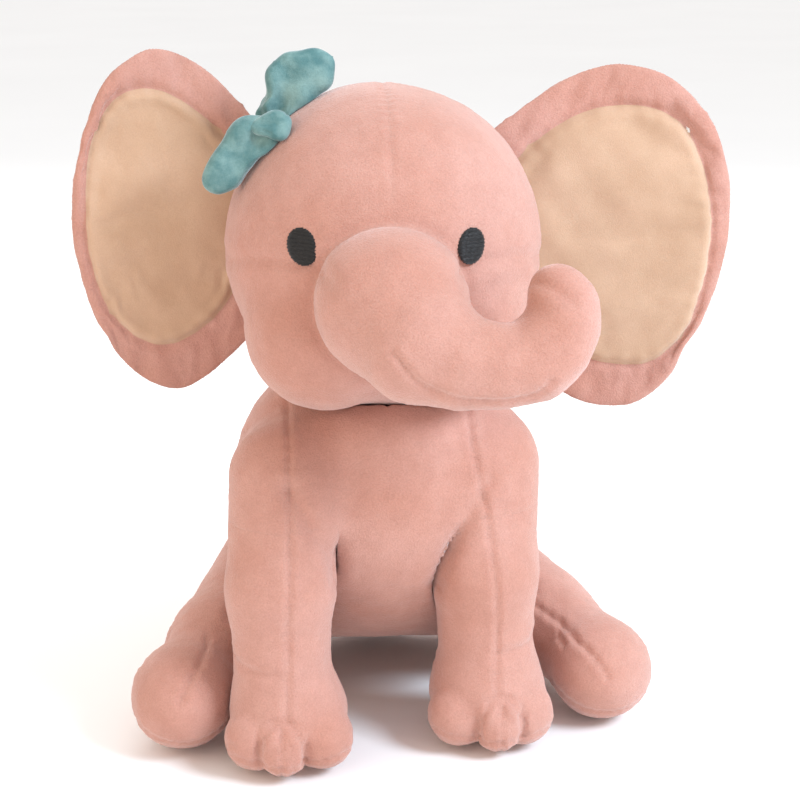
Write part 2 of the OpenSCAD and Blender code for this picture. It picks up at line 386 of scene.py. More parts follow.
def skin_of(field, low, high, cell):
    verts, quads = surface_net(field, low, high, cell)
    verts = relax(verts, quads)
    verts, normals = settle(field, verts)
    return verts, normals, quads


def waves(p, size, seed):
    """Smooth repeatable unevenness between about -1 and 1."""
    rng = np.random.default_rng(seed)
    total = np.zeros(len(p))
    for _ in range(7):
        direction = rng.normal(size=3)
        direction *= 2.0 * math.pi / (size * np.linalg.norm(direction))
        direction *= rng.uniform(0.6, 1.5)
        total += np.sin(p @ direction + rng.uniform(0.0, 6.3))
    return total / 3.5


def path_distance(q, points):
    """Distance of flat points q to a path, and how far along it they are."""
    best = np.full(len(q), 1e9)
    along = np.zeros(len(q))
    run = 0.0
    for a, b in zip(points[:-1], points[1:]):
        span = b - a
        length = np.linalg.norm(span)
        h = np.clip((q - a) @ span / (span @ span), 0.0, 1.0)
        d = np.linalg.norm(q - a - h[:, None] * span, axis=1)
        nearer = d < best
        best = np.where(nearer, d, best)
        along = np.where(nearer, run + h * length, along)
        run += length
    return best, along


def smooth_path(points, pieces=8):
    """A rounder path through given points."""
    points = np.array(points, dtype=float)
    padded = np.vstack([2 * points[0] - points[1], points, 2 * points[-1] - points[-2]])
    out = []
    for i in range(1, len(padded) - 2):
        a, b, c, d = padded[i - 1:i + 3]
        for t in np.arange(pieces) / pieces:
            out.append(
                0.5 * (2 * b + (c - a) * t + (2 * a - 5 * b + 4 * c - d) * t ** 2
                       + (3 * b - a - 3 * c + d) * t ** 3)
            )
    out.append(points[-1])
    return np.array(out)


SEAM_REACH = 8.0


def seam_height(q, points, width=1.1, depth=0.8, pucker=0.16, pitch=3.6):
    """Height of a stitched seam: a groove with low ridges and small puckers."""
    height = np.zeros(len(q))
    path = smooth_path(points)
    low, high = path.min(axis=0) - SEAM_REACH, path.max(axis=0) + SEAM_REACH
    inside = np.all((q > low) & (q < high), axis=1)
    d, along = path_distance(q[inside], path)
    groove = -depth * np.exp(-(d / width) ** 2)
    ridge = 0.28 * depth * np.exp(-((d - 2.6 * width) / (1.5 * width)) ** 2)
    waviness = pucker * np.sin(2.0 * math.pi * along / pitch) * np.exp(-(d / (3.2 * width)) ** 2)
    height[inside] = groove + ridge + waviness
    return height


# ---------------------------------------------------------------- meshes


def make_mesh(name, verts, faces, normals=None):
    """A mesh object in metres from points in millimetres."""
    mesh = bpy.data.meshes.new(name)
    mesh.from_pydata((np.asarray(verts) * MM).tolist(), [], np.asarray(faces).tolist())
    mesh.polygons.foreach_set("use_smooth", np.ones(len(mesh.polygons), dtype=bool))
    mesh.update()
    if normals is not None:
        mesh.normals_split_custom_set_from_vertices(np.asarray(normals).tolist())
    piece = bpy.data.objects.new(name, mesh)
    bpy.context.scene.collection.objects.link(piece)
    return piece


def part_of(name, verts, faces, normals, chosen):
    """A piece from the chosen faces of a larger skin."""
    kept = faces[chosen]
    used, inverse = np.unique(kept, return_inverse=True)
    return make_mesh(name, verts[used], inverse.reshape(kept.shape), normals[used])


def displaced_normals(verts, faces, fallback):
    """Point normals of the displaced skin, from its own faces."""
    a, b, c, d = (verts[faces[:, i]] for i in range(4))
    face_normal = np.cross(c - a, d - b)
    total = np.zeros_like(verts)
    for i in range(4):
        np.add.at(total, faces[:, i], face_normal)
    size = np.linalg.norm(total, axis=1)
    good = size > 1e-9
    total[good] /= size[good][:, None]
    total[~good] = fallback[~good]
    return total


def finish_piece(piece, material, nodes, body=None):
    piece.data.materials.clear()
    piece.data.materials.append(material)
    if nodes:
        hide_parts(*nodes)
    if body:
        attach(piece, body)
    return piece


# ---------------------------------------------------------------- materials


class Shader:
    """Short names for building a node material."""

    def __init__(self, name, roughness, sheen=0.0, sheen_roughness=0.5, sheen_tint=(1, 1, 1)):
        self.material = bpy.data.materials.new(name)
        self.material.use_nodes = True
        self.tree = self.material.node_tree
        self.surface = self.tree.nodes["Principled BSDF"]
        self.surface.inputs["Roughness"].default_value = roughness
        self.surface.inputs["Specular IOR Level"].default_value = 0.25
        self.surface.inputs["Sheen Weight"].default_value = sheen
        self.surface.inputs["Sheen Roughness"].default_value = sheen_roughness
        self.surface.inputs["Sheen Tint"].default_value = (*sheen_tint, 1.0)
        self.place = self.tree.nodes.new("ShaderNodeTexCoord").outputs["Object"]

    def link(self, source, target):
        self.tree.links.new(source, target)

    def noise(self, scale, detail=2.0, roughness=0.5, stretch=None):
        """Noise with scale features per metre."""
        place = self.place
        if stretch is not None:
            mapping = self.tree.nodes.new("ShaderNodeMapping")
            mapping.inputs["Scale"].default_value = stretch
            self.link(place, mapping.inputs["Vector"])
            place = mapping.outputs["Vector"]
        node = self.tree.nodes.new("ShaderNodeTexNoise")
        node.inputs["Scale"].default_value = scale
        node.inputs["Detail"].default_value = detail
        node.inputs["Roughness"].default_value = roughness
        self.link(place, node.inputs["Vector"])
        return node.outputs["Fac"]

    def ramp(self, factor, low, high, start=0.3, end=0.7):
        node = self.tree.nodes.new("ShaderNodeValToRGB")
        node.color_ramp.elements[0].position = start
        node.color_ramp.elements[1].position = end
        node.color_ramp.elements[0].color = (*low, 1.0)
        node.color_ramp.elements[1].color = (*high, 1.0)
        self.link(factor, node.inputs["Fac"])
        return node.outputs["Color"]

    def mix(self, factor, a, b, mode="MIX"):
        node = self.tree.nodes.new("ShaderNodeMix")
        node.data_type = "RGBA"
        node.blend_type = mode
        if isinstance(factor, float):
            node.inputs["Factor"].default_value = factor
        else:
            self.link(factor, node.inputs["Factor"])
        self.link(a, node.inputs[6])
        self.link(b, node.inputs[7])
        return node.outputs[2]

    def bump(self, height, distance, strength=1.0, under=None):
        node = self.tree.nodes.new("ShaderNodeBump")
        node.inputs["Distance"].default_value = distance
        node.inputs["Strength"].default_value = strength
        self.link(height, node.inputs["Height"])
        if under is not None:
            self.link(under, node.inputs["Normal"])
        return node.outputs["Normal"]

    def colour(self, source):
        self.link(source, self.surface.inputs["Base Color"])

    def normal(self, source):
        self.link(source, self.surface.inputs["Normal"])

    def glow(self, weight, radius, scale):
        self.surface.inputs["Subsurface Weight"].default_value = weight
        self.surface.inputs["Subsurface Radius"].default_value = radius
        self.surface.inputs["Subsurface Scale"].default_value = scale


def plush_material(name, base, warm, pile=1700.0, sheen=0.55):
    """Short pile: soft patches, brushed streaks and single tufts."""
    s = Shader(name, 0.95, sheen, 0.42, (1.0, 0.86, 0.84))
    patches = s.ramp(s.noise(26.0, 3.0), warm, base, 0.32, 0.62)
    brushed = s.ramp(s.noise(150.0, 4.0, 0.6), (0.90, 0.87, 0.86), (1.0, 1.0, 1.0), 0.35, 0.6)
    tufts = s.ramp(s.noise(pile, 2.0, 0.65), (0.86, 0.82, 0.81), (1.06, 1.06, 1.06), 0.32, 0.66)
    colour = s.mix(0.55, patches, brushed, "MULTIPLY")
    s.colour(s.mix(0.7, colour, tufts, "MULTIPLY"))
    coarse = s.bump(s.noise(260.0, 3.0, 0.6), 0.0010, 0.30)
    s.normal(s.bump(s.noise(pile, 2.0, 0.7), 0.0006, 0.55, coarse))
    s.glow(0.12, (1.0, 0.45, 0.35), 0.004)
    return s.material


def lining_material():
    """Smooth brushed velvet inside the ears, with soft pressure marks."""
    s = Shader("ear lining velvet", 0.9, 0.5, 0.5, (1.0, 0.93, 0.86))
    marks = s.ramp(s.noise(34.0, 3.0, 0.55), (0.48, 0.305, 0.20), (0.56, 0.37, 0.255), 0.35, 0.68)
    nap = s.ramp(s.noise(2400.0, 2.0), (0.9, 0.88, 0.86), (1.05, 1.05, 1.05), 0.35, 0.65)
    s.colour(s.mix(0.5, marks, nap, "MULTIPLY"))
    soft = s.bump(s.noise(90.0, 3.0), 0.0012, 0.25)
    s.normal(s.bump(s.noise(2400.0, 2.0), 0.0003, 0.4, soft))
    s.glow(0.1, (1.0, 0.6, 0.4), 0.003)
    return s.material


def bow_material():
    s = Shader("bow velvet", 0.85, 0.7, 0.35, (0.85, 0.95, 1.0))
    # Random lighter and darker patches of the velvet, partly its own uneven tone; their spread is widened so
    # the light patches stand in for painted highlights and the dark ones for painted shade.
    tone_and_painted_light = s.ramp(s.noise(110.0, 4.0, 0.6), (0.08, 0.185, 0.19), (0.22, 0.35, 0.335), 0.35, 0.65)
    nap = s.ramp(s.noise(2600.0, 2.0), (0.85, 0.88, 0.88), (1.06, 1.06, 1.06), 0.35, 0.65)
    s.colour(s.mix(0.6, tone_and_painted_light, nap, "MULTIPLY"))
    soft = s.bump(s.noise(420.0, 3.0), 0.0008, 0.35)
    s.normal(s.bump(s.noise(2600.0, 2.0), 0.0003, 0.5, soft))
    return s.material


def eye_material():
    s = Shader("eye thread", 0.42, 0.15, 0.3)
    s.surface.inputs["Specular IOR Level"].default_value = 0.4
    strands = s.noise(900.0, 2.0, 0.5, (1.0, 1.0, 6.0))
    s.colour(s.ramp(strands, (0.004, 0.004, 0.005), (0.022, 0.020, 0.020)))
    s.normal(s.bump(strands, 0.0003, 0.5))
    return s.material


def fibre_material():
    s = Shader("fibre filling", 0.95, 0.3, 0.6)
    strands = s.noise(320.0, 5.0, 0.7, (1.0, 1.0, 0.3))
    s.colour(s.ramp(strands, (0.70, 0.69, 0.66), (0.92, 0.91, 0.88), 0.3, 0.7))
    s.normal(s.bump(strands, 0.002, 0.8))
    return s.material


def pouch_material():
    s = Shader("pouch cloth", 0.9)
    weave = s.noise(1500.0, 1.0, 0.5, (1.0, 1.0, 2.0))
    s.colour(s.ramp(weave, (0.62, 0.57, 0.48), (0.80, 0.76, 0.68)))
    s.normal(s.bump(weave, 0.0004, 0.6))
    return s.material


def pellet_material():
    s = Shader("pellets", 0.5)
    node = s.tree.nodes.new("ShaderNodeTexVoronoi")
    node.inputs["Scale"].default_value = 330.0
    s.link(s.place, node.inputs["Vector"])
    # Painted shade: each pellet is coloured lighter in its middle and darker towards the gaps between
    # pellets.
    s.colour(s.ramp(node.outputs["Distance"], (0.88, 0.88, 0.86), (0.45, 0.45, 0.43), 0.2, 0.75))
    s.normal(s.bump(node.outputs["Distance"], 0.002, 0.9))
    return s.material


PLUSH = plush_material("pink plush", (0.548, 0.296, 0.242), (0.505, 0.25, 0.192))
LINING = lining_material()
BOW = bow_material()
THREAD = eye_material()
FIBRE = fibre_material()
POUCH = pouch_material()
PELLETS = pellet_material()

# ---------------------------------------------------------------- body skin

CELL = 1.3
PILE_UNEVENNESS = 0.05


# Seams down the front of each leg, and creases where it meets the chest, as (x, z).
LEG_SEAM = {
    RIGHT: [(-35, 138), (-35, 122), (-35, 100), (-35, 83), (-36, 60), (-36, 45), (-37, 26)],
    LEFT: [(29, 133), (30, 118), (35, 92), (38, 70), (39, 55), (39, 40), (39, 26)],
}
SHOULDER_CREASE = {
    RIGHT: [(-19, 70), (-20, 80), (-25, 89), (-30, 97), (-35, 106)],
    LEFT: [(18, 63), (21, 75), (26, 86), (32, 97), (36, 104)],
}


def body_seams(p, n):
    """Seams of the body and legs, as heights along the surface."""
    front = n[:, 1] < -0.12
    height = np.zeros(len(p))
    xz = p[:, [0, 2]]
    for side in (LEFT, RIGHT):
        x = SHOULDER[side][0] + 0.8
        height += front * seam_height(xz, LEG_SEAM[side], 0.9, 0.8)
        height += front * seam_height(xz, SHOULDER_CREASE[side], 2.4, 1.3, 0.0)
        toe_front = SHOULDER[side][1] + 4.0
        near_toe = front & (p[:, 1] < toe_front) & (p[:, 2] < 40.0)
        height += near_toe * seam_height(xz, [(x - 22, 11), (x - 9, 9), (x + 9, 9), (x + 22, 11)], 0.7, 0.5)
        middle = x + side * 2.2
        arch = [(middle - 8.2, 9), (middle - 8.0, 16), (middle - 4.6, 23), (middle, 24.6),
                (middle + 4.6, 23), (middle + 8.0, 16), (middle + 8.2, 9)]
        height += near_toe * seam_height(xz, arch, 1.1, 1.1, 0.0)
        height += near_toe * seam_height(xz, [(middle, 22), (middle, 9), (middle, 2)], 0.7, 0.6)
        ankle = [(x + side * 21, 43), (x + side * 12, 41), (x + side * 2, 40)]
        height += front * (p[:, 2] > 34.0) * seam_height(xz, ankle, 1.8, 0.9, 0.0)
    back = n[:, 1] > 0.1
    height += back * seam_height(xz, [(0, 132), (0, 90), (0, 60), (0, 4)], 1.0, 0.8)
    yz = p[:, [1, 2]]
    for side in (LEFT, RIGHT):
        hip, foot = HIP[side], FOOT[side]
        outer = (side * n[:, 0] > 0.25) & (n[:, 1] > -0.3)
        line = [(hip[1] + 22, 20), (hip[1] + 4, 36), (hip[1] - 18, 38), (foot[1] + 20, 33), (foot[1] + 2, 30)]
        height += outer * (p[:, 2] < 60.0) * seam_height(yz, line, 1.0, 0.8)
        flank = [(SHOULDER[side][1] + 30, 118), (hip[1] - 14, 88), (hip[1] + 6, 62)]
        height += outer * seam_height(yz, flank, 1.0, 0.5)
        on_foot = front & (np.abs(p[:, 0] - foot[0]) < 22.0) & (p[:, 1] < foot[1] + 4.0)
        sole = [(foot[0] - 19, 15), (foot[0] - 7, 10), (foot[0] + 8, 10), (foot[0] + 19, 15)]
        height += on_foot * seam_height(xz, sole, 0.8, 0.6)
        if side == LEFT:
            instep = [(59, 39), (64, 37), (69, 35.5), (75, 33), (79, 29.5), (82, 25)]
        else:
            instep = [(-66, 38), (-71, 33), (-75, 26)]
        height += front * (np.abs(p[:, 0]) > 56.0) * seam_height(xz, instep, 1.0, 0.9)
    return height


def sewn_skin(field, low, high, seams, seed):
    """A skin with its seams, soft unevenness and pile: points, normals, quads."""
    verts, normals, quads = skin_of(field, low, high, CELL)
    uneven = 0.35 * waves(verts, 34.0, 3) + 0.12 * waves(verts, 11.0, 4)
    height = seams(verts, normals) + uneven * ramp(verts[:, 2], 1.0, 8.0)
    verts = verts + normals * height[:, None]
    smooth = displaced_normals(verts, quads, normals)
    pile = np.random.default_rng(seed).normal(size=len(verts)) * PILE_UNEVENNESS
    return verts + smooth * pile[:, None], smooth, quads


def build_body():
    """The torso's skin, cut into its panels."""
    low = vec(-72.0, -60.0, -1.5)
    high = vec(73.0, 106.0, 150.0)
    verts, smooth, quads = sewn_skin(body_field, low, high, body_seams, 5)
    centre = verts[quads].mean(axis=1)
    owner = np.full(len(quads), "body_panel_left", dtype=object)
    owner[centre[:, 0] < 0.0] = "body_panel_right"
    facing = smooth[quads].mean(axis=1)
    between = (np.abs(centre[:, 0]) < 33.0) & (facing[:, 1] < -0.05) & (centre[:, 1] < 20.0)
    owner[between & (centre[:, 2] > 14.0)] = "chest_panel"
    owner[(centre[:, 2] < 14.0) & (centre[:, 1] > 6.0)] = "seat_panel"
    for name in sorted(set(owner)):
        piece = part_of(name + "_skin", verts, quads, smooth, owner == name)
        finish_piece(piece, PLUSH, [name], "torso")


def build_limb(kind, side, field, rise, low, high):
    """A leg's skin, which bends from the torso into the leg."""
    word = SIDE_NAME[side]
    whole = lambda p: limb_field(p, side, field, rise)
    verts, smooth, quads = sewn_skin(whole, low, high, body_seams, 6)
    centre = verts[quads].mean(axis=1)
    chosen = (field(centre, side) < 2.6) & (rise(centre, side) < 5.0)
    piece = part_of(kind + "_cover_" + word + "_skin", verts, quads, smooth, chosen)
    nodes = [kind + "_cover_" + word, kind.replace("leg", "sole") + "_" + word]
    finish_piece(piece, PLUSH, nodes, None)
    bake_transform(piece)


def build_limbs():
    for side in (LEFT, RIGHT):
        x, y, _ = SHOULDER[side]
        low = vec(x - 27.0, y - 34.0, -1.5)
        high = vec(x + 27.0, y + 40.0, 104.0)
        build_limb("front_leg", side, front_leg_field, front_rise, low, high)
        hip, foot = HIP[side], FOOT[side]
        low = vec(min(foot[0], hip[0]) - 36.0, foot[1] - 26.0, -1.5)
        high = vec(max(foot[0], hip[0]) + 36.0, hip[1] + 34.0, 66.0)
        build_limb("rear_leg", side, rear_leg_field, rear_rise, low, high)


# ---------------------------------------------------------------- head skin


def head_seams(p, n):
    """Seams and creases of the head, as heights along the surface."""
    height = np.zeros(len(p))
    xz = p[:, [0, 2]]
    top = n[:, 2] > 0.0
    crown = [(HEAD[1] - 50.0, 0.0), (HEAD[1] - 20.0, 0.0), (HEAD[1] + 30.0, 0.0), (HEAD[1] + 60.0, 0.0)]
    height += top * seam_height(p[:, [1, 0]], crown, 0.9, 0.45)
    back = n[:, 1] > 0.3
    nape = [(0.0, HEAD[2] + 50.0), (0.0, HEAD[2]), (0.0, HEAD[2] - 50.0)]
    height += back * seam_height(xz, nape, 0.9, 0.45)
    front = n[:, 1] < -0.05
    for side in (LEFT, RIGHT):
        cheek = [(side * 22, 186), (side * 34, 187), (side * 46, 186), (side * 54, 182)]
        height += front * seam_height(xz, cheek, 2.0, 1.0, 0.0)
    around = head_field(p)
    from_root = np.linalg.norm(p - (TRUNK_ROOT + vec(0.0, 8.0, 2.0)), axis=1)
    on_face = np.exp(-((trunk_field(p) - around) / 2.2) ** 2) * (from_root < 48.0)
    height += -0.9 * on_face
    return height


def trunk_seam(p, n):
    """The lengthwise seam under the trunk."""
    under = (n[:, 1] < -0.1) & (n[:, 2] < 0.3) & (p[:, 1] < TRUNK_ROOT[1])
    line = [(q[0] - 2.0, q[2] - 8.5) for q in TRUNK_POINTS[1:7]]
    return under * seam_height(p[:, [0, 2]], line, 1.0, 0.8)


def build_head():
    """The skins of the head, the trunk and its tip."""
    low = vec(-60.0, -122.0, 122.0)
    high = vec(72.0, 48.0, 246.0)
    verts, normals, quads = skin_of(head_and_trunk_field, low, high, CELL)
    uneven = 0.35 * waves(verts, 38.0, 13) + 0.10 * waves(verts, 12.0, 14)
    height = head_seams(verts, normals) + trunk_seam(verts, normals) + uneven
    verts = verts + normals * height[:, None]
    smooth = displaced_normals(verts, quads, normals)
    pile = np.random.default_rng(15).normal(size=len(verts)) * PILE_UNEVENNESS
    verts = verts + smooth * pile[:, None]

    centre = verts[quads].mean(axis=1)
    owner = np.full(len(quads), "head_panel_left", dtype=object)
    owner[centre[:, 0] < 0.0] = "head_panel_right"
    chin = (centre[:, 2] < HEAD[2] - 22.0) & (centre[:, 1] < HEAD[1] - 4.0) & (np.abs(centre[:, 0]) < 52.0)
    owner[chin] = "chin_panel"
    head = head_field(centre)
    trunk = trunk_field(centre)
    on_trunk = trunk < head
    owner[on_trunk] = "trunk_root_cover"
    way = TRUNK_BEND - TRUNK_ROOT
    way = way / np.linalg.norm(way)
    reach = (centre - TRUNK_ROOT) @ way
    owner[on_trunk & (reach > 2.0)] = "trunk_cover"
    owner[on_trunk & (reach > 33.0)] = "trunk_tip_cover"

    pieces = {}
    for name in sorted(set(owner)):
        pieces[name] = part_of(name + "_skin", verts, quads, smooth, owner == name)
    for name in ("head_panel_left", "head_panel_right", "chin_panel", "trunk_root_cover"):
        finish_piece(pieces[name], PLUSH, [name], "head")
    middle = finish_piece(pieces["trunk_cover"], PLUSH, ["trunk_cover"], None)
    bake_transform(middle)
    tip = finish_piece(pieces["trunk_tip_cover"], PLUSH, ["trunk_tip_cover"], None)
    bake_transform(tip)


# ---------------------------------------------------------------- fillings


def build_fillings():
    """Coarser bodies of fibre, a skin's thickness inside the skins."""
    inset = 2.6

    def inner(field):
        return lambda p: field(p) + inset

    def core(p):
        d = keep_above(torso_field(p), (p[:, 2] - crotch_height(p)) * 0.9, 9.0)
        d = np.maximum(d, -ball(p, HEAD, HEAD_R + 5.0))
        for side in (LEFT, RIGHT):
            d = np.maximum(d, 3.0 - front_leg_field(p, side))
            d = np.maximum(d, 3.0 - rear_leg_field(p, side))
        d = np.maximum(d, -ball(p, pouch, pouch_r + 2.8))
        return keep_above(d, p[:, 2] - GROUND, 5.0)

    pouch_low, pouch_high = box_mm("pellet_pouch")
    pouch = (pouch_low + pouch_high) / 2.0
    pouch_r = (pouch_high[0] - pouch_low[0]) / 2.0
    rows = [
        ("body_stuffing", "torso", core, vec(-60, -55, 0), vec(60, 105, 145)),
        ("head_stuffing", "head", lambda p: np.maximum(head_field(p), 1.0 - trunk_field(p)),
         vec(-60, -80, 122), vec(60, 48, 246)),
        ("tail_stuffing", "tail", tail_field, TAIL + vec(-10, -12, -40), TAIL + vec(10, 14, 12)),
    ]
    for side in (LEFT, RIGHT):
        word = SIDE_NAME[side]
        rows.append((
            "front_leg_stuffing_" + word, "front_leg_" + word,
            lambda p, side=side: np.maximum(front_leg_field(p, side), p[:, 2] - 84.0),
            vec(min(side * 66, side * 8), -72, 0), vec(max(side * 66, side * 8), 12, 98),
        ))
        rows.append((
            "rear_leg_stuffing_" + word, "rear_leg_" + word,
            lambda p, side=side: rear_leg_field(p, side),
            vec(min(side * 99, side * 8), -48, 0), vec(max(side * 99, side * 8), 100, 70),
        ))
    for name, body, field, low, high in rows:
        verts, normals, quads = skin_of(inner(field), low.astype(float), high.astype(float), 3.2)
        clumps = 0.5 * waves(verts, 9.0, len(name))
        verts = verts - normals * np.abs(clumps)[:, None]
        piece = make_mesh(name + "_fibre", verts, quads, displaced_normals(verts, quads, normals))
        finish_piece(piece, FIBRE, [name], body)

    way = TRUNK_BEND - TRUNK_ROOT
    way = way / np.linalg.norm(way)
    spans = [
        ("trunk_root_stuffing", "head", -30.0, 2.0), ("trunk_stuffing", "trunk", 3.0, 33.0),
        ("trunk_tip_stuffing", "trunk_tip", 34.0, 90.0),
    ]
    for name, body, first, last in spans:
        def span(p, first=first, last=last):
            reach = (p - TRUNK_ROOT) @ way
            d = np.maximum(trunk_field(p), 1.0 - head_field(p) if first < 0.0 else -1e3)
            return np.maximum(d, np.maximum(first + inset - reach, reach - last + inset))
        verts, normals, quads = skin_of(inner(span), vec(-30, -122, 135), vec(74, -30, 206), 2.6)
        piece = make_mesh(name + "_fibre", verts, quads, normals)
        finish_piece(piece, FIBRE, [name], body)


# ---------------------------------------------------------------- ears

EAR_RINGS = 20
LINING_RING = 15

# Outlines of each ear and of its lining, in x and z, clockwise from the top
# for the right ear and the other way round for the left one
EAR_OUTLINE = {
    RIGHT: [
        (-80, 252), (-64, 246), (-44, 227), (-33, 206), (-31, 180), (-39, 155), (-57, 137),
        (-73, 126), (-89, 132), (-104, 151), (-110, 178), (-111, 200), (-107, 224), (-97, 242),
    ],
    LEFT: [
        (87, 246), (69, 241), (39, 221), (29, 198), (31, 170), (50, 140), (68, 123),
        (87, 117), (104, 124), (118, 146), (127, 173), (128, 198), (122, 224), (106, 241),
    ],
}
LINING_OUTLINE = {
    RIGHT: [
        (-83, 238), (-70, 233), (-54, 219), (-46, 203), (-45, 182), (-51, 169), (-62, 153),
        (-78, 144), (-91, 148), (-101, 161), (-106, 180), (-106, 200), (-103, 220), (-95, 234),
    ],
    LEFT: [
        (88, 231), (70, 227), (50, 212), (44, 195), (47, 172), (60, 149), (75, 138),
        (90, 134), (103, 136), (115, 149), (121, 172), (121, 195), (114, 218), (104, 228),
    ],
}


def round_grid(count):
    """Points of a disc on a square grid, whose square rings become circles."""
    steps = np.arange(-count, count + 1) / count
    u, v = np.meshgrid(steps, steps, indexing="ij")
    r = np.maximum(np.abs(u), np.abs(v))
    safe = np.maximum(r, 1e-9)
    wide = np.abs(u) >= np.abs(v)
    angle = np.where(
        wide,
        np.where(u >= 0, 0.0, math.pi) + math.pi / 4 * v / np.where(u >= 0, safe, -safe),
        np.where(v >= 0, math.pi / 2, -math.pi / 2) - math.pi / 4 * u / np.where(v >= 0, safe, -safe),
    )
    return r, angle


def round_outline(points):
    """A closed smooth outline through points."""
    points = np.array(points, dtype=float)
    count = len(points)
    out = []
    for i in range(count):
        a, b, c, d = (points[(i + k) % count] for k in (-1, 0, 1, 2))
        for t in np.arange(12) / 12:
            out.append(
                0.5 * (2 * b + (c - a) * t + (2 * a - 5 * b + 4 * c - d) * t ** 2
                       + (3 * b - a - 3 * c + d) * t ** 3)
            )
    return np.array(out)


def on_outline(points, turn):
    """The smooth outline's point at each turn, from 0 to 1 round the loop."""
    outline = round_outline(points)
    closed = np.vstack([outline, outline[:1]])
    place = np.linspace(0.0, 1.0, len(closed))
    turn = turn % 1.0
    return np.stack([np.interp(turn, place, closed[:, i]) for i in (0, 1)], axis=-1)


def nested(outer, inner, share, r, angle, way):
    """Flat points whose rings follow the inner outline up to a share of the
    way out, then turn into the outer one."""
    turn = way * (angle - math.pi / 2) / (2 * math.pi)
    middle = np.mean(inner, axis=0)
    on_inner = on_outline(inner, turn)
    on_outer = on_outline(outer, turn)
    beyond = np.clip((r - share) / (1.0 - share), 0.0, 1.0)[..., None]
    within = np.minimum(r / share, 1.0)[..., None]
    point = middle + (on_inner - middle) * within + (on_outer - on_inner) * beyond
    return point[..., 0], point[..., 1]


def pad_mesh(r, point, thickness):
    """Two sheets on one grid, sewn together round the rim."""
    size = r.shape[0]
    x, z = point
    half = thickness * 0.5 * np.sqrt(np.maximum(1.0 - r ** 4, 0.0))
    front = np.stack([x, -half, z], axis=-1).reshape(-1, 3)
    back = np.stack([x, half, z], axis=-1).reshape(-1, 3)
    index = np.arange(size * size).reshape(size, size)
    rim = (r >= 1.0 - 1e-9)
    back_index = np.where(rim, index, index + size * size)
    quads_front = np.stack(
        [index[:-1, :-1], index[1:, :-1], index[1:, 1:], index[:-1, 1:]], -1
    ).reshape(-1, 4)
    quads_back = np.stack(
        [back_index[:-1, :-1], back_index[:-1, 1:], back_index[1:, 1:], back_index[1:, :-1]], -1
    ).reshape(-1, 4)
    verts = np.vstack([front, back])
    faces = np.vstack([quads_front, quads_back])
    used, inverse = np.unique(faces, return_inverse=True)
    return verts[used], inverse.reshape(faces.shape), used, len(quads_front)


def inflate(piece, pinned, pressure, steps, cap):
    """Blows a sewn pad up with cloth simulation and returns its points in mm."""
    rest = np.array([v.co for v in piece.data.vertices]) / MM
    group = piece.vertex_groups.new(name="sewn")
    group.add(np.nonzero(pinned)[0].tolist(), 1.0, "REPLACE")
    cloth = piece.modifiers.new("cloth", "CLOTH")
    settings = cloth.settings
    settings.quality = 6
    settings.mass = 0.15
    settings.tension_stiffness = 30.0
    settings.compression_stiffness = 12.0
    settings.shear_stiffness = 10.0
    settings.bending_stiffness = 0.4
    settings.use_pressure = True
    settings.uniform_pressure_force = pressure
    settings.shrink_min = -0.02
    settings.vertex_group_mass = "sewn"
    settings.effector_weights.gravity = 0.0
    cloth.collision_settings.use_collision = False
    cloth.point_cache.frame_start = 1
    cloth.point_cache.frame_end = steps
    scene = bpy.context.scene
    for step in range(1, steps + 1):
        scene.frame_set(step)
    depsgraph = bpy.context.evaluated_depsgraph_get()
    blown = piece.evaluated_get(depsgraph).to_mesh()
    out = np.array([v.co for v in blown.vertices]) / MM
    piece.evaluated_get(depsgraph).to_mesh_clear()
    piece.modifiers.remove(cloth)
    scene.frame_set(1)
    move = out - rest
    length = np.maximum(np.linalg.norm(move, axis=1), 1e-9)
    return rest + move * (cap * np.tanh(length / cap) / length)[:, None]


def subdivide(verts, faces, tags, levels):
    """Catmull-Clark subdivision in Blender, keeping one number per face."""
    piece = make_mesh("scratch", verts, faces)
    mesh = piece.data
    for _ in range(8):
        mesh.materials.append(None)
    mesh.polygons.foreach_set("material_index", np.asarray(tags, dtype=np.int32))
    modifier = piece.modifiers.new("rounder", "SUBSURF")
    modifier.levels = levels
    depsgraph = bpy.context.evaluated_depsgraph_get()
    fine = bpy.data.meshes.new_from_object(piece.evaluated_get(depsgraph))
    out = np.array([v.co for v in fine.vertices]) / MM
    quads = np.array([tuple(f.vertices) for f in fine.polygons])
    out_tags = np.zeros(len(fine.polygons), dtype=np.int32)
    fine.polygons.foreach_get("material_index", out_tags)
    bpy.data.objects.remove(piece)
    bpy.data.meshes.remove(fine)
    bpy.data.meshes.remove(mesh)
    return out, quads, out_tags


EAR_MIDDLE = {RIGHT: vec(-76.0, 190.0), LEFT: vec(84.0, 184.0)}
EAR_REACH = 66.0


def ear_set(side, verts):
    """Gives a flat ear its place and its soft hollow, outer edge forward."""
    hinge = EAR_HINGE[side]
    out = np.clip((side * verts[:, 0] - 46.0) / 78.0, 0.0, 1.0)
    up = (verts[:, 2] - EAR_MIDDLE[side][1]) / EAR_REACH
    cup = -8.0 * out ** 2 + 5.0 * out + 3.0 * up ** 2 * (1.0 - out)
    placed = verts.copy()
    placed[:, 1] += hinge[1] - 2.0 + cup
    return placed


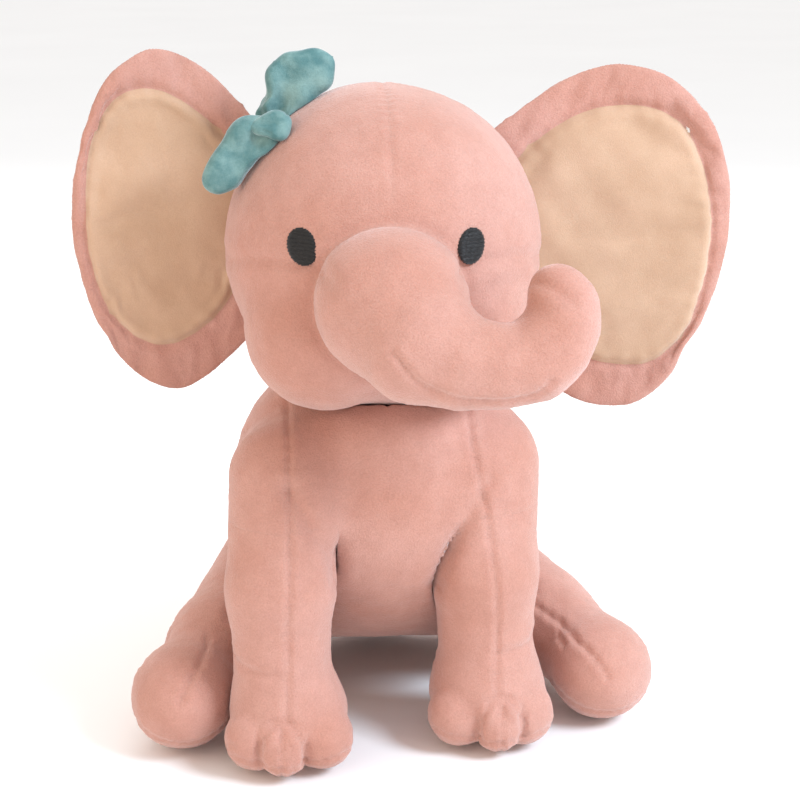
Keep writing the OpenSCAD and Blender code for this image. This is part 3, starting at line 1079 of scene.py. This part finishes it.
def build_ear(side):
    word = SIDE_NAME[side]
    r, angle = round_grid(EAR_RINGS)
    flat = nested(EAR_OUTLINE[side], LINING_OUTLINE[side], LINING_RING / EAR_RINGS, r, angle, side)
    verts, faces, used, front_count = pad_mesh(r, flat, 6.0)
    size = (2 * EAR_RINGS + 1) ** 2
    ring = np.round(r * EAR_RINGS).reshape(-1)
    ring = np.concatenate([ring, ring])[used]
    on_seam = (ring == LINING_RING) & (used < size)
    verts[on_seam, 1] += 1.0
    pad = make_mesh("ear_pad_" + word, verts, faces)
    root = side * verts[:, 0] < 46.0
    verts = inflate(pad, root | on_seam, 3.0, 16, 2.6)
    bpy.data.objects.remove(pad)

    face_ring = ring[faces].max(axis=1)
    tags = np.where(np.arange(len(faces)) >= front_count, 2, np.where(face_ring <= LINING_RING, 1, 0))
    filling = verts.copy()
    middle = EAR_MIDDLE[side]
    filling[:, 0] = middle[0] + (verts[:, 0] - middle[0]) * 0.86
    filling[:, 2] = middle[1] + (verts[:, 2] - middle[1]) * 0.89
    filling[:, 1] *= 0.25
    filling = ear_set(side, filling)
    wadding = make_mesh("ear_wadding_" + word + "_fibre", filling, faces)
    verts, faces, tags = subdivide(verts, faces, tags, 2)

    normals = displaced_normals(verts, faces, verts)
    seam = on_outline(LINING_OUTLINE[side], np.linspace(0.0, 1.0, 120))
    d, along = path_distance(verts[:, [0, 2]], seam)
    front = normals[:, 1] < 0.2
    groove = -0.7 * np.exp(-(d / 1.1) ** 2) + 0.2 * np.exp(-((d - 3.2) / 1.8) ** 2)
    wander = 2.0 * math.pi * along / 8.0 + 2.5 * waves(verts, 40.0, 21)
    pucker = 0.16 * np.sin(wander) * np.exp(-(d / 5.0) ** 2)
    height = front * (groove + pucker) + 0.3 * waves(verts, 15.0, 22) + 0.4 * waves(verts, 36.0, 23)
    verts = ear_set(side, verts + normals * height[:, None])
    normals = displaced_normals(verts, faces, normals)
    pile = np.random.default_rng(31).normal(size=len(verts)) * PILE_UNEVENNESS
    verts = verts + normals * pile[:, None]

    outside = head_field(verts[faces].mean(axis=1)) > -4.0
    rows = [
        (0, "ear_rim_", PLUSH, "plush"),
        (1, "ear_lining_", LINING, "ear_lining"),
        (2, "ear_back_", PLUSH, "plush"),
    ]
    for tag, name, material, slot in rows:
        piece = part_of(name + word + "_skin", verts, faces, normals, (tags == tag) & outside)
        finish_piece(piece, material, [name + word], None)
        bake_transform(piece)
    finish_piece(wadding, FIBRE, ["ear_wadding_" + word], None)
    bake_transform(wadding)


# ---------------------------------------------------------------- eyes


def build_eye(side):
    """Satin stitch: one raised thread beside the next, across the oval."""
    word = SIDE_NAME[side]
    half_w, half_h = (5.0, 6.1) if side == RIGHT else (4.7, 5.9)
    centre = vec(side * 27.8 - 1.7, 0.0, HEAD[2] + 8.7)
    lean = math.radians(8.0) * -side
    pitch = 0.42
    rows = int(2 * half_h / pitch)
    across, around = 22, 4
    verts = []
    faces = []
    for i in range(rows):
        v = -half_h + (i + 0.5) * pitch
        reach = half_w * math.sqrt(max(1.0 - (v / half_h) ** 2, 0.02))
        reach *= 1.0 + 0.03 * math.sin(i * 2.4)
        base = len(verts)
        for j in range(across + 1):
            u = -reach + 2 * reach * j / across
            for k in range(around + 1):
                dv = pitch * 0.62 * (k / around - 0.5) * 2.0
                bulge = math.sin(math.pi * k / around)
                edge = 1.0 - abs(u / reach) ** 6
                x = u * math.cos(lean) + (v + dv) * math.sin(-lean)
                z = u * math.sin(lean) + (v + dv) * math.cos(lean)
                swell = 0.55 * (1.0 - (v / half_h) ** 2) * max(edge, 0.0)
                lift = -0.25 + swell + 0.28 * bulge * max(edge, 0.0) ** 0.5
                verts.append((centre[0] + x, lift, centre[2] + z))
        for j in range(across):
            for k in range(around):
                a = base + j * (around + 1) + k
                faces.append((a, a + 1, a + around + 2, a + around + 1))
    verts = np.array(verts)
    lift = verts[:, 1].copy()
    p = verts.copy()
    p[:, 1] = HEAD[1] - HEAD_R
    for _ in range(12):
        p[:, 1] += 0.9 * head_field(p)
    n = gradient(head_field, p)
    p = p + n * (lift + 0.35)[:, None]
    piece = make_mesh("eye_" + word + "_stitches", p, np.array(faces))
    finish_piece(piece, THREAD, ["eye_" + word], "head")


# ---------------------------------------------------------------- bow


UPPER_LOOP = [
    (-27, 253), (-35, 251), (-40, 246), (-42, 237), (-45, 231), (-43, 226), (-37, 224),
    (-30, 228), (-24, 234), (-18, 241), (-16, 248), (-19, 252),
]
LOWER_LOOP = [
    (-42, 232), (-50, 231), (-57, 222), (-62, 214), (-62, 208), (-57, 205), (-51, 207),
    (-47, 212), (-43, 217), (-38, 221), (-35, 226), (-36, 231),
]
KNOT = [
    (-38, 234), (-43, 232), (-47, 229), (-45, 226), (-40, 225), (-36, 224), (-33, 226),
    (-32, 230), (-34, 233),
]


def bow_pad(node, outline, forward, thickness, folds, root, seed):
    """A padded velvet loop in its outline, gathered towards its root."""
    r, angle = round_grid(12)
    middle = np.mean(outline, axis=0)
    small = [tuple(middle + (np.array(q) - middle) * 0.5) for q in outline]
    flat = nested(outline, small, 0.5, r, angle, 1)
    verts, faces, _, _ = pad_mesh(r, flat, thickness * 0.8)
    pad = make_mesh(node, verts, faces)
    pinned = np.linalg.norm(verts[:, [0, 2]] - np.array(root), axis=1) < 4.0
    verts = inflate(pad, pinned, 5.0, 14, thickness * 0.3)
    bpy.data.objects.remove(pad)
    verts, faces, _ = subdivide(verts, faces, np.zeros(len(faces)), 2)
    normals = displaced_normals(verts, faces, verts)
    away = verts[:, [0, 2]] - np.array(root)
    reach = np.linalg.norm(away, axis=1)
    fan = np.arctan2(away[:, 1], away[:, 0])
    broad = np.abs(normals[:, 1])
    fold = np.sin(fan * folds + seed) * np.minimum(reach / 9.0, 1.0) * np.exp(-(reach / 22.0) ** 4)
    height = broad * 1.5 * fold + 0.6 * waves(verts, 13.0, seed)
    verts = verts + normals * height[:, None]
    verts[:, 1] *= 0.6 + 0.4 * ramp(reach, 1.0, 9.0)
    verts[:, 1] += forward
    for _ in range(2):
        push = np.maximum(0.6 - head_field(verts), 0.0)
        verts = verts + gradient(head_field, verts) * push[:, None]
    piece = make_mesh(node + "_velvet", verts, faces)
    finish_piece(piece, BOW, [node], "head")


def build_bow():
    bow_pad("bow_loop_upper", UPPER_LOOP, -13.0, 10.0, 7.0, (-39.0, 224.0), 2)
    bow_pad("bow_loop_lower", LOWER_LOOP, -27.0, 10.0, 6.0, (-38.0, 233.0), 5)
    bow_pad("bow_knot", KNOT, -30.0, 9.0, 3.0, (-47.0, 229.0), 9)


# ---------------------------------------------------------------- tail


def build_tail():
    verts, normals, quads = skin_of(tail_field, TAIL + vec(-10, -12, -42), TAIL + vec(10, 14, 12), 1.0)
    uneven = 0.2 * waves(verts, 7.0, 41)
    verts = verts + normals * uneven[:, None]
    piece = make_mesh("tail_cover_skin", verts, quads, displaced_normals(verts, quads, normals))
    finish_piece(piece, PLUSH, ["tail_cover"], "tail")


# ---------------------------------------------------------------- frame nodes


def dress_nodes():
    """Materials for the frame's own nodes that stay inside the skins."""
    looks = {"neck_wadding": FIBRE, "pellet_pouch": POUCH, "pouch_pellets": PELLETS}
    for name, material in looks.items():
        node = frame["nodes"][name]
        node.data.materials.clear()
        node.data.materials.append(material)


# ---------------------------------------------------------------- set


def build_camera():
    """Looks down on the toy from a little to its right, as the picture does."""
    aim = vec(0.0, -6.0, 125.0) * MM
    elevation = math.radians(15.6)
    azimuth = math.radians(-3.5)
    distance = 0.675
    back = vec(
        math.sin(azimuth) * math.cos(elevation),
        -math.cos(azimuth) * math.cos(elevation),
        math.sin(elevation),
    )
    data = bpy.data.cameras.new("camera")
    data.lens = 82.6
    data.sensor_width = 36.0
    data.shift_x = 0.0225
    data.shift_y = 0.0
    data.clip_start = 0.01
    camera = bpy.data.objects.new("camera", data)
    bpy.context.scene.collection.objects.link(camera)
    camera.location = aim + back * distance
    camera.rotation_euler = (math.pi / 2 - elevation, 0.0, azimuth)
    bpy.context.scene.camera = camera


def soft_light(name, place, size, power, colour):
    data = bpy.data.lights.new(name, "AREA")
    data.shape = "DISK"
    data.size = size
    data.energy = power
    data.color = colour
    light = bpy.data.objects.new(name, data)
    bpy.context.scene.collection.objects.link(light)
    light.location = place
    aim = vec(0.0, 0.0, 0.12) - vec(*place)
    yaw = math.atan2(aim[1], aim[0])
    light.rotation_euler = (math.atan2(math.hypot(aim[0], aim[1]), -aim[2]), 0.0, yaw - math.pi / 2)
    return light


def build_set():
    size = 14.0
    verts = [(-size, -size, 0), (size, -size, 0), (size, size, 0), (-size, size, 0)]
    floor = make_mesh("floor", np.array(verts) / MM, np.array([(0, 1, 2, 3)]))
    s = Shader("pale floor", 0.85)
    s.colour(s.ramp(s.noise(3.0), (0.95, 0.95, 0.95), (0.97, 0.97, 0.97)))
    floor.data.materials.append(s.material)
    world = bpy.data.worlds.new("studio")
    bpy.context.scene.world = world
    world.use_nodes = True
    world.node_tree.nodes["Background"].inputs["Color"].default_value = (1.0, 0.985, 0.975, 1.0)
    world.node_tree.nodes["Background"].inputs["Strength"].default_value = 0.95
    soft_light("key", (0.8, -0.6, 0.85), 0.5, 16.0, (0.74, 0.87, 1.0))
    soft_light("fill", (-0.9, -0.6, 0.5), 0.9, 3.2, (1.0, 0.68, 0.38))
    soft_light("back", (0.2, 0.9, 0.8), 0.8, 4.0, (1.0, 1.0, 1.0))
    bpy.context.scene.view_settings.view_transform = "Standard"


build_camera()
build_set()
build_body()
build_limbs()
build_head()
build_fillings()
build_ear(LEFT)
build_ear(RIGHT)
build_eye(LEFT)
build_eye(RIGHT)
build_bow()
build_tail()
dress_nodes()
